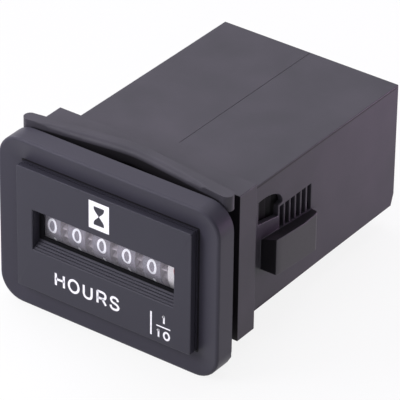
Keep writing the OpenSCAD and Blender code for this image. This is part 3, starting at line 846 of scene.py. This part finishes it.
SIX = ((0.88, 0.84), (0.72, 0.97), (0.52, 1), (0.22, 0.88), (0.05, 0.5), (0.1, 0.2), (0.28, 0.04), (0.5, 0),
       (0.8, 0.06), (0.97, 0.3), (0.82, 0.54), (0.52, 0.62), (0.22, 0.53), (0.07, 0.33))
SIGNS = {
    "0": [oval(0.5, 0.5, 0.5, 0.5)],
    "1": [line(0.72, 0, 0.72, 1), bend((0.72, 1), (0.52, 0.84), (0.1, 0.74))],
    "2": [bend((0.04, 0.72), (0.2, 0.94), (0.5, 1), (0.82, 0.9), (0.94, 0.7), (0.8, 0.48), (0.4, 0.22),
               (0.03, 0)),
          line(0, 0, 1, 0)],
    "3": [bend((0.06, 0.8), (0.25, 0.96), (0.5, 1), (0.8, 0.92), (0.88, 0.75), (0.74, 0.58), (0.42, 0.53)),
          bend((0.42, 0.53), (0.8, 0.46), (0.97, 0.27), (0.82, 0.07), (0.5, 0), (0.2, 0.05), (0.03, 0.24))],
    "4": [line(0.72, 0, 0.72, 1), line(0.72, 1, 0.02, 0.3), line(0, 0.3, 1, 0.3)],
    "5": [line(0.88, 1, 0.2, 1), line(0.22, 1, 0.1, 0.5),
          bend((0.1, 0.5), (0.35, 0.63), (0.6, 0.62), (0.88, 0.5), (0.98, 0.3), (0.82, 0.07), (0.48, 0),
               (0.18, 0.06), (0.02, 0.22))],
    "6": [bend(*SIX)],
    "7": [line(0, 1, 1, 1), bend((0.98, 1), (0.6, 0.5), (0.38, 0))],
    "8": [oval(0.5, 0.77, 0.42, 0.23), oval(0.5, 0.27, 0.5, 0.27)],
    "9": [bend(*((1 - x, 1 - z) for x, z in SIX))],
    "H": [line(0, 0, 0, 1), line(1, 0, 1, 1), line(0, 0.53, 1, 0.53)],
    "O": [oval(0.5, 0.5, 0.5, 0.5)],
    "U": [bend((0, 1), (0, 0.75), (0, 0.5), (0.01, 0.3), (0.14, 0.08), (0.5, 0), (0.86, 0.08), (0.99, 0.3),
               (1, 0.5), (1, 0.75), (1, 1))],
    "R": [line(0, 0, 0, 1), line(0.55, 0.46, 1, 0),
          bend((0, 1), (0.3, 1), (0.6, 1), (0.86, 0.92), (0.95, 0.73), (0.86, 0.54), (0.6, 0.46),
               (0.3, 0.46), (0, 0.46))],
    "S": [bend((0.92, 0.74), (0.8, 0.93), (0.5, 1), (0.2, 0.94), (0.08, 0.75), (0.22, 0.58), (0.5, 0.51),
               (0.82, 0.42), (0.97, 0.25), (0.84, 0.07), (0.5, 0), (0.15, 0.07), (0.02, 0.28))],
}


def smooth_path(kind, spots, steps=5):
    """Catmull-Rom curve: between two points, the cubic whose end slopes are half the neighbours' chord."""
    if kind == "loop":
        before, here, after, far = (np.roll(spots, shift, axis=0) for shift in (1, 0, -1, -2))
    else:
        longer = np.concatenate([[2 * spots[0] - spots[1]], spots, [2 * spots[-1] - spots[-2]]])
        before, here, after, far = longer[:-3], longer[1:-2], longer[2:-1], longer[3:]
    s = np.arange(steps)[None, :, None] / steps
    a, b, c, d = (v[:, None, :] for v in (before, here, after, far))
    curve = b + s * (c - a) / 2 + s**2 * (a - 2.5 * b + 2 * c - d / 2) + s**3 * (1.5 * (b - c) + (d - a) / 2)
    path = curve.reshape(-1, 2)
    return path if kind == "loop" else np.concatenate([path, spots[-1:]])


def ribbon(path, closed, pen):
    """Two points a side: path plus and minus half a pen along the normal, joined to a strip of quads."""
    ahead = np.roll(path, -1, axis=0) if closed else np.concatenate([path[1:], path[-1:]])
    behind = np.roll(path, 1, axis=0) if closed else np.concatenate([path[:1], path[:-1]])
    along = ahead - behind
    along /= np.linalg.norm(along, axis=1, keepdims=True)
    side = np.stack([-along[:, 1], along[:, 0]], axis=1) * pen / 2
    count = len(path)
    spots = np.stack([path + side, path - side], axis=1).reshape(-1, 2)
    here = np.arange(count if closed else count - 1)
    then = (here + 1) % count
    faces = np.stack([2 * here, 2 * here + 1, 2 * then + 1, 2 * then], axis=1)
    return spots, faces


def sign(name, x0, x1, z0, z1, pen):
    """One sign drawn in a box on a plane: the pen's outer edge touches the box."""
    low = np.array([x0 + pen / 2, z0 + pen / 2])
    size = np.array([x1 - x0 - pen, z1 - z0 - pen])
    spots, faces, base = [], [], 0
    for kind, path in SIGNS[name]:
        drawn, joined = ribbon(smooth_path(kind, path * size), kind == "loop", pen)
        spots.append(drawn + low)
        faces.append(joined + base)
        base += len(drawn)
    return np.concatenate(spots), np.concatenate(faces)


def joined(parts):
    """Several (points, faces) as one."""
    starts = np.cumsum([0] + [len(spots) for spots, _ in parts[:-1]])
    faces = [faces + start for (_, faces), start in zip(parts, starts)]
    return np.concatenate([spots for spots, _ in parts]), np.concatenate(faces)


def sheet_piece(name, spots, faces, material):
    """A thin sheet of ink from points in mm and quads."""
    mesh = bpy.data.meshes.new(name)
    mesh.from_pydata((spots * MM).tolist(), [], faces.tolist())
    mesh.materials.append(material)
    mesh.update()
    piece = bpy.data.objects.new(name, mesh)
    scene.collection.objects.link(piece)
    return piece


print("signs", "".join(SIGNS))

# %% [markdown]
# ## Figures on the wheels
# Each wheel carries ten figures. A flat figure is rolled on to the rim: its height above the middle becomes
# an angle round the shaft.

# %% Roll the figures on to the wheels
WHEEL_R = 6.0
WHEEL_PITCH = 5.15
FIGURE_SIZE = (1.95, 2.9)
FIGURE_PEN = 0.45
FIGURE_LIFT = math.radians(-0.3)
TENTHS_LIFT = math.radians(10)
TENTHS_X = 13.08
ONE_WIDTH = 0.45
FIGURE_COUNT = 10
WHEEL_NAMES = ("ten_thousands", "thousands", "hundreds", "tens", "units", "tenths")


def roll(spots, middle_x, turn):
    """Angle = height / radius + turn; x is kept, y = axle - radius cos(angle), z = radius sin(angle)."""
    radius = WHEEL_R + INK
    angle = spots[:, 1] / radius + turn
    x, y, z = middle_x + spots[:, 0], WHEEL_Y - radius * np.cos(angle), radius * np.sin(angle)
    return np.stack([x, y, z], axis=1)


def wheel_figures(name, middle_x, lift, material):
    """All ten figures of one wheel as one mesh; the next figure comes into the window as the wheel turns."""
    half_x, half_z = FIGURE_SIZE[0] / 2, FIGURE_SIZE[1] / 2
    parts = []
    for figure in range(FIGURE_COUNT):
        narrow = ONE_WIDTH if figure == 1 else 1.0
        flat, faces = sign(str(figure), -half_x * narrow, half_x * narrow, -half_z, half_z, FIGURE_PEN)
        parts.append((roll(flat, middle_x, lift - figure * 2 * math.pi / FIGURE_COUNT), faces))
    return sheet_piece(name, *joined(parts), material)


last = len(WHEEL_NAMES) - 1
for k, wheel in enumerate(WHEEL_NAMES):
    middle_x = (k - last / 2) * WHEEL_PITCH if k < last else TENTHS_X
    lift = FIGURE_LIFT if k < last else TENTHS_LIFT
    figures = wheel_figures(f"figures_{wheel}", middle_x, lift, FIGURE_WHITE if k < last else PRINT_RED)
    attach(figures, f"{wheel}_wheel")
print("wheels with figures", len(WHEEL_NAMES))

# %% [markdown]
# ## Print on the face
# The legends are thin white ink on the face cover: the word, a bar, the fraction one tenth and an hourglass
# in a white box. The box is a sheet of two parameters too: across, from the outline of the glass to the box,
# and along it.

# %% Legends
INK_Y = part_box("face_cover")[0][1] / MM
WORD = {
    "H": (-9.98, -7.85),
    "O": (-7.26, -4.77),
    "U": (-4.13, -2.04),
    "R": (-1.28, 0.92),
    "S": (1.39, 3.55),
}
WORD_Z = (-9.05, -6.25)
WORD_PEN = 0.45
SMALL_PEN = 0.36
GLASS_BOX = (-2.8, 1.35, 5.34, 10.6)
GLASS_HALF = (1.06, 1.76)
GLASS_NECK = 0.1
GLASS_LEVELS = 41
NECK_LENGTH = 0.05
SHOULDER = 0.78
SWELL = 1.1
FRACTION = (
    ("1", 12.05, 12.9, -7.75, -5.82),
    ("1", 10.98, 11.83, -10.7, -8.82),
    ("0", 12.4, 13.85, -10.72, -8.95),
)
BARS = ((9.79, 10.13, -10.62, -6.09), (11.04, 13.89, -8.47, -8.22))


def box_round_glass(box, half, neck):
    """Ruled sheet: at each level, from the glass's edge out to the box, on both sides, and two caps."""
    x0, x1, z0, z1 = box
    mid_x, mid_z = (x0 + x1) / 2, (z0 + z1) / 2
    s = np.linspace(-1, 1, GLASS_LEVELS)
    reach = np.clip((np.abs(s) - NECK_LENGTH) / SHOULDER, 0, 1)
    width = neck + (half[0] - neck) * np.sin(reach * math.pi / 2) ** SWELL
    level = mid_z + s * half[1]
    parts = []
    for side, edge in ((1, x1), (-1, x0)):
        spots = np.stack([np.stack([mid_x + side * width, level], axis=1),
                          np.stack([np.full_like(s, edge), level], axis=1)], axis=1).reshape(-1, 2)
        here = np.arange(len(s) - 1)
        parts.append((spots, np.stack([2 * here, 2 * here + 1, 2 * here + 3, 2 * here + 2], axis=1)))
    parts.append(patch(x0, x1, z0, mid_z - half[1]))
    parts.append(patch(x0, x1, mid_z + half[1], z1))
    return joined(parts)


def patch(x0, x1, z0, z1):
    """A plain rectangle of ink."""
    return np.array([(x0, z0), (x1, z0), (x1, z1), (x0, z1)], float), np.array([[0, 1, 2, 3]])


ink = [sign(letter, x0, x1, *WORD_Z, WORD_PEN) for letter, (x0, x1) in WORD.items()]
ink += [sign(figure, *box, SMALL_PEN) for figure, *box in FRACTION]
ink += [patch(*bar) for bar in BARS]
ink.append(box_round_glass(GLASS_BOX, GLASS_HALF, GLASS_NECK))
flat, quads = joined(ink)
printed = np.stack([flat[:, 0], np.full(len(flat), INK_Y), flat[:, 1]], axis=1)
legends = sheet_piece("legends", printed, quads, PRINT_WHITE)
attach(legends, "meter")
print("legend quads", len(quads))

# %% [markdown]
# ## Floor and light
# The photograph is cut out on white. The floor is white to the camera and keeps a faint shadow. Most light
# comes from the sky, which is bright on the left and fades to the right, as in a white tent with one dark
# wall. A small lamp near the face's upper left and soft lamps from the front, above and the left add to it,
# and a low rose strip lights the rear of the right side. The camera doesn't see the lamps.

# %% Floor, world and lamps
FLOOR_Z = cad_box[0][2]
FLOOR_REACH = 3.0
FLOOR_TONE = (0.8, 0.8, 0.8, 1)
FLOOR_ROUGH = 0.9
FLOOR_LIFT = 0.87
SKY_TONE = (1.0, 0.96, 1.05, 1)
SKY_FADE = (-0.3, 0.7)
SKY_LEFT = 0.95
SKY_RIGHT = 0.14


def floor_material():
    """A pale diffuse floor that is lifted to white for camera, glossy and transmission rays."""
    material = bpy.data.materials.new("studio_floor")
    material.use_nodes = True
    tree, link = material.node_tree.nodes, material.node_tree.links.new
    shader, out = tree["Principled BSDF"], tree["Material Output"]
    shader.inputs["Base Color"].default_value = FLOOR_TONE
    shader.inputs["Roughness"].default_value = FLOOR_ROUGH
    glow = tree.new("ShaderNodeEmission")
    glow.inputs["Strength"].default_value = 1.0
    path = tree.new("ShaderNodeLightPath")
    seen = path.outputs["Is Camera Ray"]
    for ray in ("Is Glossy Ray", "Is Transmission Ray"):
        either = tree.new("ShaderNodeMath")
        either.operation = "MAXIMUM"
        link(seen, either.inputs[0])
        link(path.outputs[ray], either.inputs[1])
        seen = either.outputs[0]
    lift = tree.new("ShaderNodeMath")
    lift.operation = "MULTIPLY"
    lift.inputs[1].default_value = FLOOR_LIFT
    mix = tree.new("ShaderNodeMixShader")
    link(seen, lift.inputs[0])
    link(lift.outputs[0], mix.inputs["Fac"])
    link(shader.outputs[0], mix.inputs[1])
    link(glow.outputs[0], mix.inputs[2])
    link(mix.outputs[0], out.inputs["Surface"])
    return material


floor_mesh = bpy.data.meshes.new("floor")
corners = [(x * FLOOR_REACH, y * FLOOR_REACH, FLOOR_Z) for x, y in ((-1, -1), (1, -1), (1, 1), (-1, 1))]
floor_mesh.from_pydata(corners, [], [(0, 1, 2, 3)])
floor = bpy.data.objects.new("floor", floor_mesh)
floor.data.materials.append(floor_material())
scene.collection.objects.link(floor)

world = bpy.data.worlds.new("studio")
scene.world = world
world.use_nodes = True
tree, link = world.node_tree.nodes, world.node_tree.links.new
sky = tree["Background"]
sky.inputs["Color"].default_value = SKY_TONE
way = tree.new("ShaderNodeTexCoord")
axes = tree.new("ShaderNodeSeparateXYZ")
fade = tree.new("ShaderNodeMapRange")
fade.inputs["From Min"].default_value = SKY_FADE[0]
fade.inputs["From Max"].default_value = SKY_FADE[1]
fade.inputs["To Min"].default_value = SKY_LEFT
fade.inputs["To Max"].default_value = SKY_RIGHT
link(way.outputs["Generated"], axes.inputs[0])
link(axes.outputs["X"], fade.inputs["Value"])
link(fade.outputs["Result"], sky.inputs["Strength"])
COOL_TINT = (0.97, 0.96, 1.06)
ROSE_TINT = (1.18, 0.74, 1.26)
LAMPS = (
    ("front_top_left", (-0.05, -0.08, 0.065), 0.05, 0.05, 0.062, COOL_TINT),
    ("front_low", (-0.15, -0.7, 0.05), 0.4, 0.4, 0.2, COOL_TINT),
    ("top_softbox", (-0.1, 0.2, 0.8), 0.5, 0.5, 2.1, COOL_TINT),
    ("left_high", (-0.6, 0.15, 0.4), 0.4, 0.4, 1.6, COOL_TINT),
    ("right_rear", (0.075, 0.14, -0.003), 0.08, 0.02, 0.064, ROSE_TINT),
)
for name, place, width, height, power, tint in LAMPS:
    lamp = bpy.data.lights.new(name, "AREA")
    lamp.shape = "RECTANGLE"
    lamp.size = width
    lamp.size_y = height
    lamp.energy = power
    lamp.color = tint
    lamp_object = bpy.data.objects.new(name, lamp)
    lamp_object.location = place
    lamp_object.rotation_euler = (-Vector(place)).to_track_quat("-Z", "Y").to_euler()
    lamp_object.visible_camera = False
    scene.collection.objects.link(lamp_object)
print("lamps", len(LAMPS))
